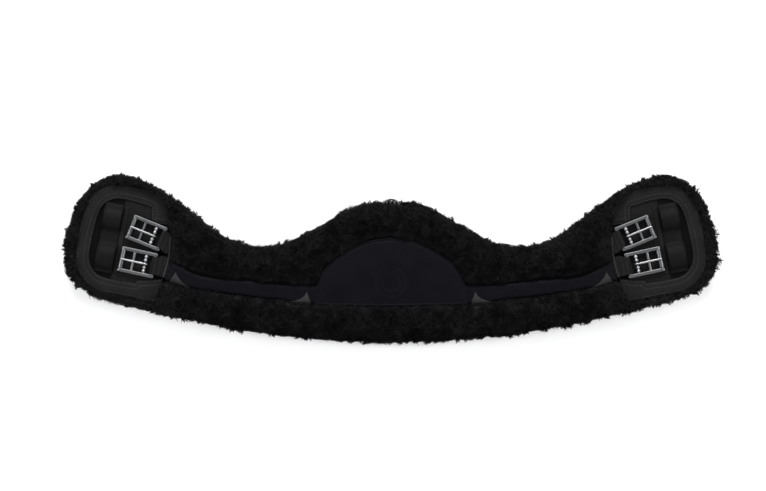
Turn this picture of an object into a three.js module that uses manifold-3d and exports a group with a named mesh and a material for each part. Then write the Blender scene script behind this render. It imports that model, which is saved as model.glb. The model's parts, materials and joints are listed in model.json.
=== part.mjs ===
// Anatomic short girth for a saddle: a crescent of lambskin with a padded leather middle,
// two elastic straps at each end and a roller buckle on every strap.
// Millimetres. +X runs along the girth, +Y towards the horse's elbows, +Z out of the outer face.
// The horse side lies on z = 0 and the crescent is mirrored about X = 0.
import * as THREE from "three";
import { mergeVertices } from "three/addons/utils/BufferGeometryUtils.js";
import Module from "manifold-3d";

// ---- Driving dimensions ----
const GAP = 0.3; // between pieces that touch
const HALF_LENGTH = 450;
const HALF_WIDTH = 116;
const PAD_THICKNESS = 15; // lambskin on the horse side
const FOAM_THICKNESS = 3.7;
const WOOL_TOP = 37; // top of the lambskin rolled on to the outer face
const END_WOOL_TOP = 30; // top of the narrow roll round the end plates
const WEB_THICKNESS = 1.7;
const STRIP_THICKNESS = 9;
const PANEL_THICKNESS = 2.5;
const PLATE_THICKNESS = 2.5;
const BORDER_THICKNESS = 2.2;
const TRIM_THICKNESS = 1.4;
const GUSSET_THICKNESS = 0.8;
const KEEPER_WIDTH = 25;
const KEEPER_THICKNESS = 1.8;
const KEEPER_RISE = 10;
const BILLET_WIDTH = 25; // the strap that the buckles take
const RAIL_WIDTH = 4.5;
const RAIL_THICKNESS = 3.4;
const ROLLER_RADIUS = 3.1;
const ROLLER_BAR_RADIUS = 2;
const MIDDLE_BAR_RADIUS = 1.9;
const HINGE_BAR_RADIUS = 1.5;
const STRAP_BAR_RADIUS = 1.75;
const RUNNING_CLEARANCE = 0.35;
const ELASTIC_THICKNESS = 1.5; // one layer of the folded strap

// ---- Levels of the layers ----
const FOAM_BOTTOM = PAD_THICKNESS + GAP;
const FOAM_TOP = FOAM_BOTTOM + FOAM_THICKNESS;
const WEB_BOTTOM = FOAM_TOP + GAP;
const STRIP_BOTTOM = WEB_BOTTOM + WEB_THICKNESS + GAP;
const STRIP_TOP = STRIP_BOTTOM + STRIP_THICKNESS;
const PLATE_TOP = WEB_BOTTOM + PLATE_THICKNESS;
const TRIM_BOTTOM = PLATE_TOP + GAP;
const BUCKLE_LEVEL = TRIM_BOTTOM + TRIM_THICKNESS + GAP + ROLLER_RADIUS;

// ---- Buckle, measured from the strap bar towards the roller ----
const MOUTH_WIDTH = BILLET_WIDTH + 0.5;
const RAIL_CENTRE = (MOUTH_WIDTH + RAIL_WIDTH) / 2;
const ROLLER_AT = 44;
const MIDDLE_BAR_AT = 28.5;
const HINGE_BAR_AT = 12;
const RAIL_START = -3;
const RAIL_END = 47.2;
const MIDDLE_BAR_DROP = 1.2; // it lies lower, out of the tongue's way
const ELASTIC_WIDTH = 24;

const wasm = await Module();
wasm.setup();

// ---- Materials ----
const material = (color, roughness, metalness = 0) =>
  new THREE.MeshStandardMaterial({ color, roughness, metalness });
const WOOL = material(0x131313, 1);
const FOAM = material(0x303236, 0.9);
const WEBBING = material(0x1c1c1e, 0.8);
const PANEL_LEATHER = material(0x17161b, 0.45);
const BORDER_LEATHER = material(0x272729, 0.6);
const PLATE_FABRIC = material(0x202022, 0.85);
const KEEPER_LEATHER = material(0x1c1c1e, 0.55);
const GUSSET_FABRIC = material(0x3a393c, 0.8);
const ELASTIC = material(0x161617, 0.8);
const BINDING = material(0x3c3c3f, 0.6);
const STEEL = material(0xb9bcc0, 0.22, 1);

// ---- Geometry helpers ----
const vectors = (points) => points.map(([x, y]) => new THREE.Vector3(x, y, 0));
const flat = (points) => points.map((p) => new THREE.Vector2(p.x, p.y));

// A smooth curve through hand-set points, with the given number of steps between each two.
function smooth(points, steps, closed = false) {
  const curve = new THREE.CatmullRomCurve3(vectors(points), closed, "centripetal");
  const spans = closed ? points.length : points.length - 1;
  const line = flat(curve.getPoints(spans * steps));
  return closed ? line.slice(0, -1) : line;
}

const corners = (points) => flat(vectors(points));

// The same points on the left-hand side, walked the other way.
const leftOf = (points) => points.map(([x, y]) => [-x, y]).reverse();

// The unit normals of a line, pointing to its right as it is walked.
function normals(line, closed) {
  const last = line.length - 1;
  return line.map((point, i) => {
    const before = i > 0 ? line[i - 1] : closed ? line[last] : point;
    const after = i < last ? line[i + 1] : closed ? line[0] : point;
    return new THREE.Vector2(after.y - before.y, before.x - after.x).normalize();
  });
}

// The outline moved outwards by a distance, or inwards by a negative one.
function grown(outline, distance) {
  const turn = THREE.ShapeUtils.isClockWise(outline) ? -1 : 1;
  return normals(outline, true).map((n, i) => outline[i].clone().addScaledVector(n, turn * distance));
}

// The outline of a band of even width along a centre line.
function ribbon(line, width) {
  const side = normals(line, false);
  const right = line.map((p, i) => p.clone().addScaledVector(side[i], width / 2));
  const left = line.map((p, i) => p.clone().addScaledVector(side[i], -width / 2));
  return right.concat(left.reverse());
}

// A flat piece between two levels, whose long edges are rounded by the given amount.
function slab(outline, bottom, top, round = 0, segments = 1) {
  const geometry = new THREE.ExtrudeGeometry(new THREE.Shape(outline), {
    depth: top - bottom - 2 * round,
    bevelEnabled: round > 0,
    bevelThickness: round,
    bevelSize: round,
    bevelOffset: -round,
    bevelSegments: segments,
  });
  return geometry.translate(0, 0, bottom + round);
}

// A side view in X and Z, made as wide as given along Y.
function acrossY(shape, width, curveSegments = 4) {
  const settings = { depth: width, bevelEnabled: false, curveSegments };
  const geometry = new THREE.ExtrudeGeometry(shape, settings);
  return geometry.translate(0, 0, -width / 2).rotateX(Math.PI / 2);
}

const box = (from, to) =>
  new THREE.BoxGeometry(to[0] - from[0], to[1] - from[1], to[2] - from[2]).translate(
    (from[0] + to[0]) / 2,
    (from[1] + to[1]) / 2,
    (from[2] + to[2]) / 2,
  );

// A solid for joining and cutting.
function solid(geometry) {
  const bare = geometry.index ? geometry.toNonIndexed() : geometry.clone();
  bare.deleteAttribute("normal");
  bare.deleteAttribute("uv");
  const merged = mergeVertices(bare, 1e-4);
  return new wasm.Manifold(
    new wasm.Mesh({
      numProp: 3,
      vertProperties: merged.getAttribute("position").array,
      triVerts: new Uint32Array(merged.index.array),
    }),
  );
}

function geometryOf(manifold) {
  const { vertProperties, triVerts } = manifold.getMesh();
  const geometry = new THREE.BufferGeometry();
  geometry.setAttribute("position", new THREE.BufferAttribute(vertProperties, 3));
  geometry.setIndex(new THREE.BufferAttribute(triVerts, 1));
  geometry.computeVertexNormals();
  return geometry;
}

const join = (...geometries) => geometryOf(geometries.map(solid).reduce((a, b) => a.add(b)));
const cut = (geometry, ...tools) =>
  geometryOf(tools.map(solid).reduce((a, b) => a.subtract(b), solid(geometry)));

function piece(name, geometry, finish) {
  const mesh = new THREE.Mesh(geometry, finish);
  mesh.name = name;
  return mesh;
}

const mirrored = (geometry) => {
  const copy = geometry.index ? geometry.toNonIndexed() : geometry.clone();
  copy.scale(-1, 1, 1);
  const p = copy.getAttribute("position");
  const a = new THREE.Vector3();
  const b = new THREE.Vector3();
  for (let i = 0; i < p.count; i += 3) {
    a.fromBufferAttribute(p, i);
    b.fromBufferAttribute(p, i + 1);
    p.setXYZ(i, b.x, b.y, b.z);
    p.setXYZ(i + 1, a.x, a.y, a.z);
  }
  return copy;
};

// ---- Outlines, right-hand half unless it says otherwise ----
const FRONT_EDGE = [
  [52, 71],
  [105, 41],
  [145, 21.5],
  [180, 17.5],
  [220, 27],
  [275, 67],
  [318, 96],
  [372, HALF_WIDTH],
  [409, 104],
  [433, 72],
];
const REAR_EDGE = [
  [441, -28],
  [404, -53.5],
  [310, -78],
  [160, -106],
];
const TIP_Y = 8;
const HALF_EDGE = [...FRONT_EDGE, [HALF_LENGTH, TIP_Y], ...REAR_EDGE];
const OUTLINE = smooth(
  [
    [0, 80],
    ...HALF_EDGE,
    [0, -HALF_WIDTH],
    ...leftOf(HALF_EDGE),
  ],
  3,
  true,
);

// The mouth that the elastic straps come out of, from front to rear.
const MOUTH = smooth(
  [
    [302, 60],
    [300, 30.5],
    [301, 6],
    [309.5, -26],
    [317.5, -44],
  ],
  2,
);
const PLATE = smooth(
  [
    [320, -61],
    [369, -51.5],
    [410, -41],
    [431, -14],
    [432.5, 8],
    [424, 56],
    [409, 88],
    [386, 101],
    [362, 100.5],
    [332, 94],
    [306, 77],
  ],
  3,
).concat(MOUTH);
// The space inside the stitched border, open towards the straps.
const BORDER_WINDOW = smooth(
  [
    [349, -34],
    [382, -28.5],
    [402, -21.5],
    [412.5, -4],
    [411, 19],
    [403.5, 51],
    [394, 73],
    [379, 81.5],
    [358, 79.5],
    [328, 70.5],
  ],
  3,
).concat(
  corners([
    [328, 48],
    [290, 43],
    [290, -26],
    [349, -30],
  ]),
);

const MOON_CORNER = [106, -64];
const MOON_SIDE = [
  [36, 24],
  [63, 11],
  [86, -6],
  [99, -26],
  [104, -46],
  MOON_CORNER,
];
const MOON = smooth([...leftOf(MOON_SIDE), [0, 30], ...MOON_SIDE], 2).concat(
  smooth([MOON_CORNER, [0, -66.5], ...leftOf([MOON_CORNER])], 3).slice(1, -1),
);

const STRIP_INNER_END = 88; // hidden under the half-moon panel
const STRIP_FRONT = [
  [STRIP_INNER_END, -34.5],
  [135, -33],
  [201, -26],
  [260, -19.5],
  [306, 2],
];
const STRIP_REAR = [
  [313, -32],
  [273, -42.5],
  [212, -51.5],
  [135, -61.5],
  [STRIP_INNER_END, -65.5],
];
const STRIP = smooth(STRIP_FRONT, 3).concat(smooth(STRIP_REAR, 3));

// ---- The two straps of one end ----
const STRAPS = [
  { at: "front", bar: [313.6, 26.8], tilt: THREE.MathUtils.degToRad(22.1), tail: 49 },
  { at: "rear", bar: [324.9, -9.7], tilt: THREE.MathUtils.degToRad(12.3), tail: 40 },
];
const POCKET_CLEARANCE = 0.5;
const POCKET_MOUTH = 2;

// The room inside the cover that one strap's tail lies in.
function pocket({ bar, tilt, tail }) {
  const half = ELASTIC_WIDTH / 2 + POCKET_CLEARANCE;
  const rise = ELASTIC_THICKNESS + POCKET_CLEARANCE;
  return box([-tail - 1, -half, -rise], [POCKET_MOUTH, half, rise])
    .rotateZ(tilt)
    .translate(bar[0], bar[1], BUCKLE_LEVEL);
}
const POCKETS = STRAPS.map(pocket);

// ---- D-ring ----
const D_RING_INNER = 10; // half of its inner width
const D_RING_WIRE = 3.4;
const D_RING_BAR_Y = 68;
const D_RING_LEVEL = 18.8;
const D_RING_TOP = 83.5;
const D_RING_ROOM = 15.5; // half width of the room left for it in the wool and the foam
const D_RING_ROOM_START = 60;
const D_RING_ROOM_TOP = 29.5; // high enough for it to swing up
const TAB_WIDTH = 17;
const TAB_TAIL = 30;
const TAB_THICKNESS = 1.4;
const TAB_END = D_RING_BAR_Y - TAB_TAIL;

// ---- Lambskin, foam and webbing ----
const EDGE_ROUND = 5;
const BODY_SLACK = 0.5; // between the wool and what it surrounds
const FOAM_INSET = 8;
const WEB_WIDTH = 20;
const SEAM_START = 400; // inboard of the outermost edge of the end plate

const ABOVE = WOOL_TOP + 1; // where the cutting tools end

function windows() {
  const hole = (outline) => slab(grown(outline, BODY_SLACK), FOAM_TOP, ABOVE);
  const right = [hole(PLATE), hole(STRIP)];
  return [...right, ...right.map(mirrored), hole(MOON)];
}

// What is taken off the rolled wool towards its tips, where it is narrow and lies lower.
function endSlope() {
  const side = corners([
    [300, ABOVE],
    [302, WOOL_TOP],
    [345, END_WOOL_TOP],
    [HALF_LENGTH + 1, END_WOOL_TOP],
    [HALF_LENGTH + 1, ABOVE],
  ]);
  return acrossY(new THREE.Shape(side), 2 * HALF_WIDTH + 2);
}

// The wool rolled on to the outer face is a ring, sewn from a front and a rear length at its tips.
function woolRolls() {
  const seam = box([SEAM_START, TIP_Y - GAP / 2, 0], [HALF_LENGTH + 1, TIP_Y + GAP / 2, ABOVE]);
  const tabSide = TAB_WIDTH / 2 + GAP;
  const ring = cut(
    slab(OUTLINE, WEB_BOTTOM, WOOL_TOP, EDGE_ROUND, 2),
    ...windows(),
    ...POCKETS,
    ...POCKETS.map(mirrored),
    seam,
    mirrored(seam),
    endSlope(),
    mirrored(endSlope()),
    box([-D_RING_ROOM, D_RING_ROOM_START, FOAM_TOP], [D_RING_ROOM, HALF_WIDTH, D_RING_ROOM_TOP]),
    box([-tabSide, TAB_END - 1, FOAM_TOP], [tabSide, D_RING_BAR_Y, D_RING_LEVEL + TAB_THICKNESS + GAP]),
  );
  const lengths = solid(ring).decompose();
  lengths.sort((a, b) => b.boundingBox().max[1] - a.boundingBox().max[1]);
  return lengths.map(geometryOf);
}

function foamCore() {
  const notch = box([-D_RING_ROOM, TAB_END - 1, 0], [D_RING_ROOM, HALF_WIDTH, ABOVE]);
  return cut(slab(grown(OUTLINE, -FOAM_INSET), FOAM_BOTTOM, FOAM_TOP), notch);
}

function loadWeb() {
  const side = [
    [51, -50],
    [135, -47.5],
    [201, -39],
    [260, -31],
    [288, -23],
  ];
  const line = smooth([...leftOf(side), [0, -50], ...side], 2);
  return slab(ribbon(line, WEB_WIDTH), WEB_BOTTOM, WEB_BOTTOM + WEB_THICKNESS);
}

function body() {
  const group = new THREE.Group();
  const [frontRoll, rearRoll] = woolRolls();
  group.add(piece("fleece_horse_side", slab(OUTLINE, 0, PAD_THICKNESS, EDGE_ROUND, 2), WOOL));
  group.add(piece("fleece_front_roll", frontRoll, WOOL));
  group.add(piece("fleece_rear_roll", rearRoll, WOOL));
  group.add(piece("foam_core", foamCore(), FOAM));
  group.add(piece("load_web", loadWeb(), WEBBING));
  return group;
}

// ---- Half-moon panel with its padding ----
const PADDING_INSET = 2;

function centre() {
  const group = new THREE.Group();
  const stripRoom = [STRIP, STRIP.map((p) => new THREE.Vector2(-p.x, p.y))].map((outline) =>
    slab(grown(outline, GAP), 0, WOOL_TOP),
  );
  const padding = cut(slab(grown(MOON, -PADDING_INSET), STRIP_BOTTOM, STRIP_TOP), ...stripRoom);
  const panelBottom = STRIP_TOP + GAP;
  const panel = slab(MOON, panelBottom, panelBottom + PANEL_THICKNESS, 0.8);
  group.add(piece("centre_panel_padding", padding, FOAM));
  group.add(piece("centre_panel", panel, PANEL_LEATHER));
  return group;
}

// ---- Padded strip with its two gussets ----
// A gusset is a small triangle whose hollow side runs out into a thin tail along the strip's edge.
function gusset(apex, heel, foot, tip, hollow) {
  const shape = new THREE.Shape();
  shape.moveTo(...apex);
  shape.lineTo(...heel);
  shape.lineTo(...foot);
  shape.lineTo(...tip);
  shape.quadraticCurveTo(...hollow, ...apex);
  const bottom = STRIP_TOP + GAP;
  return slab(shape.getPoints(4), bottom, bottom + GUSSET_THICKNESS);
}

function strip(side) {
  const group = new THREE.Group();
  const round = 2.5;
  const beyondMouth = slab(grown(PLATE, BODY_SLACK), 0, WOOL_TOP);
  const padded = cut(slab(STRIP, STRIP_BOTTOM, STRIP_TOP, round, 2), beyondMouth, ...POCKETS);
  const outer = gusset([294, -18.5], [303, -31.5], [300, -33.5], [271, -41.5], [289, -34]);
  const inner = gusset([115, -45], [110.5, -58], [109.5, -63.5], [141, -59.5], [119, -57.5]);
  group.add(piece("strip_" + side, padded, PANEL_LEATHER));
  group.add(piece("gusset_outer_" + side, outer, GUSSET_FABRIC));
  group.add(piece("gusset_inner_" + side, inner, GUSSET_FABRIC));
  return group;
}

// ---- End plate with its border, keeper loops and trims ----
const KEEPER_TILT = THREE.MathUtils.degToRad(10.5);
const KEEPER_MIDDLE = [385.6, 30];
const KEEPER_STITCHED = 8.7; // half of the stitched stretch between the two loops
const KEEPER_FRONT_END = 43;
const KEEPER_REAR_END = -46;
const KEEPER_TAIL = 4;

// Two loops in one band, seen from the side: flat where it is sewn down, arched in between.
function keeperBand() {
  const steps = 8;
  const lift = TRIM_BOTTOM + KEEPER_THICKNESS / 2;
  const arch = (from, to) => {
    const line = [];
    for (let i = 0; i <= steps; i++) {
      const t = i / steps;
      line.push([from + (to - from) * t, lift + KEEPER_RISE * Math.sin(Math.PI * t) ** 0.7]);
    }
    return line;
  };
  const line = corners([
    [KEEPER_REAR_END - KEEPER_TAIL, lift],
    ...arch(KEEPER_REAR_END, -KEEPER_STITCHED),
    ...arch(KEEPER_STITCHED, KEEPER_FRONT_END),
    [KEEPER_FRONT_END + KEEPER_TAIL, lift],
  ]);
  const outline = ribbon(line, KEEPER_THICKNESS);
  return acrossY(new THREE.Shape(outline), KEEPER_WIDTH)
    .rotateZ(Math.PI / 2 + KEEPER_TILT)
    .translate(...KEEPER_MIDDLE, 0);
}

// The narrow stitched strip beside the loops, which the rollers rest over.
function keeperStrip() {
  const width = 7.4;
  const shorter = 2; // than the band, at each end
  const inboard = -KEEPER_WIDTH / 2 - GAP - width / 2;
  const line = corners([
    [inboard, KEEPER_REAR_END - KEEPER_TAIL + shorter],
    [inboard, KEEPER_FRONT_END + KEEPER_TAIL - shorter],
  ]);
  return slab(ribbon(line, width), TRIM_BOTTOM, TRIM_BOTTOM + TRIM_THICKNESS)
    .rotateZ(KEEPER_TILT)
    .translate(...KEEPER_MIDDLE, 0);
}

// The piping along the mouth, over the straps.
function slotBinding() {
  const radius = 1.2;
  const offset = 1.8;
  const level = BUCKLE_LEVEL + ELASTIC_THICKNESS + 3 * GAP + radius;
  const line = MOUTH.slice(2, -2).map((p) => new THREE.Vector3(p.x + offset, p.y, level));
  const section = new THREE.Shape().absarc(0, 0, radius, 0, 2 * Math.PI);
  return new THREE.ExtrudeGeometry(section, {
    steps: 6,
    bevelEnabled: false,
    curveSegments: 4,
    extrudePath: new THREE.CatmullRomCurve3(line),
  });
}

function endPlate(side) {
  const group = new THREE.Group();
  const inner = slab(BORDER_WINDOW, 0, WOOL_TOP);
  const border = cut(slab(PLATE, TRIM_BOTTOM, TRIM_BOTTOM + BORDER_THICKNESS, 0.6), inner);
  const underBorder = cut(slab(PLATE, 0, ABOVE), slab(grown(BORDER_WINDOW, -GAP), 0, ABOVE));
  group.add(piece("end_plate_" + side, slab(PLATE, WEB_BOTTOM, PLATE_TOP), PLATE_FABRIC));
  group.add(piece("end_border_" + side, border, BORDER_LEATHER));
  group.add(piece("keeper_band_" + side, cut(keeperBand(), underBorder), KEEPER_LEATHER));
  group.add(piece("keeper_strip_" + side, cut(keeperStrip(), underBorder), BORDER_LEATHER));
  group.add(piece("slot_binding_" + side, slotBinding(), BINDING));
  return group;
}

// ---- Buckle and strap, in the frame of the strap bar: X towards the roller, Y along the bar ----
function rail(y) {
  const radius = RAIL_WIDTH / 2;
  const shape = new THREE.Shape();
  shape.absarc(RAIL_START + radius, 0, radius, Math.PI / 2, (3 * Math.PI) / 2);
  shape.lineTo(RAIL_END - 1, -radius);
  shape.lineTo(RAIL_END, -radius + 1);
  shape.lineTo(RAIL_END, radius - 1);
  shape.lineTo(RAIL_END - 1, radius);
  return slab(shape.getPoints(4), -RAIL_THICKNESS / 2, RAIL_THICKNESS / 2, 0.8).translate(0, y, 0);
}

const rod = (radius, length, x, z = 0) =>
  new THREE.CylinderGeometry(radius, radius, length, 12).translate(x, 0, z);

function buckleFrame() {
  const length = 2 * RAIL_CENTRE;
  return join(
    rail(RAIL_CENTRE),
    rail(-RAIL_CENTRE),
    rod(ROLLER_BAR_RADIUS, length, ROLLER_AT),
    rod(MIDDLE_BAR_RADIUS, length, MIDDLE_BAR_AT, -MIDDLE_BAR_DROP),
    rod(STRAP_BAR_RADIUS, length, 0),
  );
}

const lathe = (profile, segments) => new THREE.LatheGeometry(corners(profile), segments);

function roller() {
  const half = MOUTH_WIDTH / 2 - GAP;
  const bore = ROLLER_BAR_RADIUS + RUNNING_CLEARANCE;
  const chamfer = 0.4;
  return lathe(
    [
      [bore, -half],
      [ROLLER_RADIUS - chamfer, -half],
      [ROLLER_RADIUS, -half + chamfer],
      [ROLLER_RADIUS, half - chamfer],
      [ROLLER_RADIUS - chamfer, half],
      [bore, half],
      [bore, -half],
    ],
    16,
  ).translate(ROLLER_AT, 0, 0);
}

// A turned bar with two beads on each side of the tongue.
const BEAD_RADIUS = 2.8;
const BEADS = [-9.8, -5, 5, 9.8];

function hingeBar() {
  const half = MOUTH_WIDTH / 2 - GAP;
  const profile = [
    [0, -half],
    [HINGE_BAR_RADIUS, -half],
  ];
  for (const at of BEADS) {
    for (const slope of [-60, -20, 20, 60]) {
      const turn = THREE.MathUtils.degToRad(slope);
      profile.push([BEAD_RADIUS * Math.cos(turn), at + 0.8 * BEAD_RADIUS * Math.sin(turn)]);
    }
  }
  profile.push([HINGE_BAR_RADIUS, half], [0, half]);
  return lathe(profile, 12).translate(HINGE_BAR_AT, 0, 0);
}

// The tongue: an eye round the hinge bar and an arm that rests on the roller.
function tongue() {
  const width = 3.2;
  const eyeWall = 1.3;
  const hole = HINGE_BAR_RADIUS + RUNNING_CLEARANCE;
  const eye = rod(hole + eyeWall, width, HINGE_BAR_AT);
  const rest = ROLLER_RADIUS + GAP + 1.1;
  const line = [
    [HINGE_BAR_AT + hole + 0.6, 0.6],
    [HINGE_BAR_AT + 8, 2.4],
    [MIDDLE_BAR_AT + 4, 3.9],
    [ROLLER_AT, rest],
    [ROLLER_AT + 2.6, rest - 0.3],
  ];
  const arm = acrossY(new THREE.Shape(ribbon(smooth(line, 2), 2.2)), width);
  return cut(join(eye, arm), rod(hole, 2 * width, HINGE_BAR_AT));
}

// The elastic strap: folded round the strap bar and doubled back into the cover.
function elastic(tail) {
  const bore = STRAP_BAR_RADIUS + RUNNING_CLEARANCE;
  const outer = bore + ELASTIC_THICKNESS;
  const neck = -9; // where the two layers meet behind the bar
  const shape = new THREE.Shape();
  shape.moveTo(-tail, -ELASTIC_THICKNESS);
  shape.lineTo(neck, -ELASTIC_THICKNESS);
  shape.absarc(0, 0, outer, -Math.PI / 2 - 0.25, Math.PI / 2 + 0.25);
  shape.lineTo(neck, ELASTIC_THICKNESS);
  shape.lineTo(-tail, ELASTIC_THICKNESS);
  shape.holes.push(new THREE.Path().absarc(0, 0, bore, 0, 2 * Math.PI, true));
  return acrossY(shape, ELASTIC_WIDTH, 6);
}

function strap({ at, bar, tilt, tail }, side) {
  const group = new THREE.Group();
  const name = (what) => what + "_" + side + "_" + at;
  group.add(piece(name("elastic_strap"), elastic(tail), ELASTIC));
  group.add(piece(name("buckle_frame"), buckleFrame(), STEEL));
  group.add(piece(name("hinge_bar"), hingeBar(), STEEL));
  group.add(piece(name("roller"), roller(), STEEL));
  group.add(piece(name("tongue"), tongue(), STEEL));
  group.position.set(bar[0], bar[1], BUCKLE_LEVEL);
  group.rotation.z = tilt;
  return group;
}

// ---- D-ring and its tab at the front edge ----
function dRing() {
  const outer = D_RING_INNER + D_RING_WIRE;
  const centreY = D_RING_TOP - outer;
  const outline = new THREE.Shape();
  outline.moveTo(-outer, D_RING_BAR_Y - D_RING_WIRE / 2);
  outline.lineTo(outer, D_RING_BAR_Y - D_RING_WIRE / 2);
  outline.absarc(0, centreY, outer, 0, Math.PI);
  const hole = new THREE.Path();
  hole.moveTo(D_RING_INNER, D_RING_BAR_Y + D_RING_WIRE / 2);
  hole.lineTo(-D_RING_INNER, D_RING_BAR_Y + D_RING_WIRE / 2);
  hole.absarc(0, centreY, D_RING_INNER, Math.PI, 0, true);
  outline.holes.push(hole);
  const round = 1;
  const geometry = new THREE.ExtrudeGeometry(outline, {
    depth: D_RING_WIRE - 2 * round,
    bevelThickness: round,
    bevelSize: round,
    bevelOffset: -round,
    bevelSegments: 1,
    curveSegments: 10,
  });
  return geometry.translate(0, 0, D_RING_LEVEL - D_RING_WIRE / 2 + round);
}

function dRingTab() {
  const bore = D_RING_WIRE / 2 + RUNNING_CLEARANCE;
  const outer = bore + TAB_THICKNESS;
  const neck = -8; // where the two layers meet behind the bar
  const shape = new THREE.Shape();
  shape.moveTo(-TAB_TAIL, -TAB_THICKNESS);
  shape.lineTo(neck, -TAB_THICKNESS);
  shape.absarc(0, 0, outer, -Math.PI / 2 - 0.25, Math.PI / 2 + 0.25);
  shape.lineTo(neck, TAB_THICKNESS);
  shape.lineTo(-TAB_TAIL, TAB_THICKNESS);
  shape.holes.push(new THREE.Path().absarc(0, 0, bore, 0, 2 * Math.PI, true));
  return acrossY(shape, TAB_WIDTH, 6)
    .rotateZ(Math.PI / 2)
    .translate(0, D_RING_BAR_Y, D_RING_LEVEL);
}

// ---- The girth ----
function girthEnd(side) {
  const group = new THREE.Group();
  group.add(strip(side), endPlate(side));
  for (const place of STRAPS) {
    group.add(strap(place, side));
  }
  group.scale.x = side === "left" ? -1 : 1;
  return group;
}

const girth = new THREE.Group();
girth.add(body(), centre(), girthEnd("right"), girthEnd("left"));
girth.add(piece("d_ring_tab", dRingTab(), KEEPER_LEATHER), piece("d_ring", dRing(), STEEL));

export default girth;
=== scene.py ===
"""The looks of a short anatomic saddle girth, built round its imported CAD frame.

Everything is in metres in the frame of the part: X along the girth, Y towards its front edge,
Z out of its outer face. Places and sizes are read from the CAD nodes and joints.
"""

import json
import math

import bmesh
import bpy
import numpy as np
from mathutils import Matrix, Vector
from mathutils.bvhtree import BVHTree
from mathutils.geometry import delaunay_2d_cdt


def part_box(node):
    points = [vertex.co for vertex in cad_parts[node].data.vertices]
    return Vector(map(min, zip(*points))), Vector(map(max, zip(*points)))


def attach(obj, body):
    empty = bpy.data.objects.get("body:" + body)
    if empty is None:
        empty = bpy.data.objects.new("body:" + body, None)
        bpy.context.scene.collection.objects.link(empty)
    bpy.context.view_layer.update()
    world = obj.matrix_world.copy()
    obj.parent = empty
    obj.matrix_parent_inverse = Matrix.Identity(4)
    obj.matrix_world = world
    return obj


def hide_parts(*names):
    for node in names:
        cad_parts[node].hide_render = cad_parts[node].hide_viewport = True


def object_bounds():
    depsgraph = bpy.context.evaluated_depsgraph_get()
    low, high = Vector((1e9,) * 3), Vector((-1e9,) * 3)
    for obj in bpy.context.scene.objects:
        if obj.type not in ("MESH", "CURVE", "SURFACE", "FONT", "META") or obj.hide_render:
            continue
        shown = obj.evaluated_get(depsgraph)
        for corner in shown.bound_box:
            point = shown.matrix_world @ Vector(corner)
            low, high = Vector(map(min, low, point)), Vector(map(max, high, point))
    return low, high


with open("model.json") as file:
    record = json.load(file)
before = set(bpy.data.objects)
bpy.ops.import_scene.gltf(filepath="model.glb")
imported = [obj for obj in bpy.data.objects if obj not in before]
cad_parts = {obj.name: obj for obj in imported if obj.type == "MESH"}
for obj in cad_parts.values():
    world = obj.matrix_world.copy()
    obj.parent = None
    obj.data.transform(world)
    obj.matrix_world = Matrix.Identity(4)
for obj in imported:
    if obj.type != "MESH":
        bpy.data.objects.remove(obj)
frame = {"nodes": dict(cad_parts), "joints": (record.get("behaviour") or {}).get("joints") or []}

CAD_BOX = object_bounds()
SCENE = bpy.context.scene
UP = Vector((0, 0, 1))
SAME_PLACE = 1e-6  # nearer points are one point
SAME_LEVEL = 1e-5
ABOVE = 0.1  # a height over the whole girth
SIDES = ("right", "left")
PLACES = ("front", "rear")
END_PLATES = ("end_plate_right", "end_plate_left")
SMOOTH_LEATHER = ("strip_right", "strip_left", "centre_panel")


# ---------------- Mesh helpers


def add_object(name, data):
    """A new object in the scene with the given data."""
    made = bpy.data.objects.new(name, data)
    SCENE.collection.objects.link(made)
    return made


def add_mesh(name, vertices, faces, material, smooth=True):
    """A new piece from vertices and faces."""
    mesh = bpy.data.meshes.new(name)
    mesh.from_pydata([tuple(v) for v in vertices], [], [tuple(f) for f in faces])
    mesh.validate()
    if smooth:
        mesh.shade_smooth()
    if material:
        mesh.materials.append(material)
    return add_object(name, mesh)


def add_triangles(name, vertices, triangles, materials, slots):
    """A new piece from large arrays of triangles, each with its own material slot."""
    mesh = bpy.data.meshes.new(name)
    mesh.vertices.add(len(vertices))
    mesh.vertices.foreach_set("co", vertices.astype(np.float32).ravel())
    mesh.loops.add(triangles.size)
    mesh.loops.foreach_set("vertex_index", triangles.astype(np.int32).ravel())
    mesh.polygons.add(len(triangles))
    mesh.polygons.foreach_set("loop_start", np.arange(len(triangles), dtype=np.int32) * 3)
    for material in materials:
        mesh.materials.append(material)
    mesh.polygons.foreach_set("material_index", slots.astype(np.int32))
    mesh.update(calc_edges=True)
    mesh.shade_smooth()
    return add_object(name, mesh)


def copy_of(node, name):
    """A new object with a copy of a CAD node's mesh."""
    mesh = frame["nodes"][node].data.copy()
    mesh.materials.clear()
    reshape(mesh, merge)
    return add_object(name, mesh)


def reshape(mesh, change):
    """Lets a function change a mesh in its editable form."""
    shape = bmesh.new()
    shape.from_mesh(mesh)
    change(shape)
    shape.to_mesh(mesh)
    shape.free()


def merge(shape):
    """Merges vertices that lie on each other."""
    bmesh.ops.remove_doubles(shape, verts=shape.verts, dist=SAME_PLACE)


def face_out(shape):
    """Turns all faces of a closed shape to point out."""
    bmesh.ops.recalc_face_normals(shape, faces=shape.faces)


def evaluated(piece):
    """A piece as its modifiers leave it."""
    bpy.context.view_layer.update()
    return piece.evaluated_get(bpy.context.evaluated_depsgraph_get())


def upper_face(piece):
    """A function that gives the height of a piece's upper face, and nothing beside the piece."""
    surface = BVHTree.FromObject(piece, bpy.context.evaluated_depsgraph_get())

    def height(x, y):
        hit = surface.ray_cast(Vector((x, y, ABOVE)), -UP)[0]
        return hit.z if hit else None

    return height


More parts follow.
